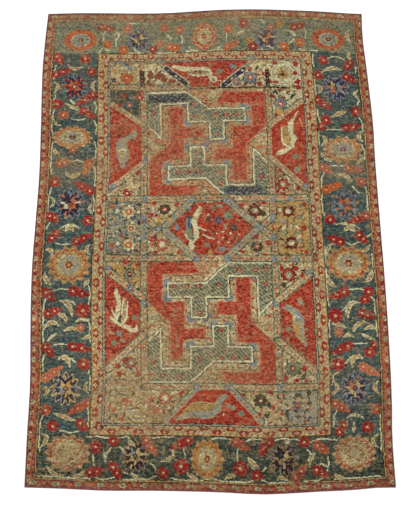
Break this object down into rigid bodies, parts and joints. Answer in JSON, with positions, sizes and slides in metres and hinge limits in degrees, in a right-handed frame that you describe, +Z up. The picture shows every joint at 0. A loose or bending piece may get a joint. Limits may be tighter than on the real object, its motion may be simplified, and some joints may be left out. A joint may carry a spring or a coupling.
{
  "type": "hand-knotted wool carpet",
  "caption": "Flat rectangular hand-knotted wool carpet with overcast sides and bound ends, for covering a floor or hanging flat.",
  "frame": {"origin": "centre of the bounding box, on the plane of the underside that lies on the floor", "axes": "+Y runs along the length towards the far end in the picture, +X across the width to the right, +Z up out of the pile"},
  "size_m": [2.1106, 3.0653, 0.0072],
  "materials": {
    "wool_pile": "low, worn wool pile with a red, blue-green and buff traditional pattern",
    "overcast_wool": "overcast madder-brown wool yarn",
    "dark_end_wool": "overcast dark brown wool yarn"
  },
  "bodies": {
    "root": {"carpet": "wool_pile", "side_cord_left": "overcast_wool", "side_cord_right": "overcast_wool", "end_binding_near": "overcast_wool", "end_binding_far": "dark_end_wool"}
  },
  "joints": []
}
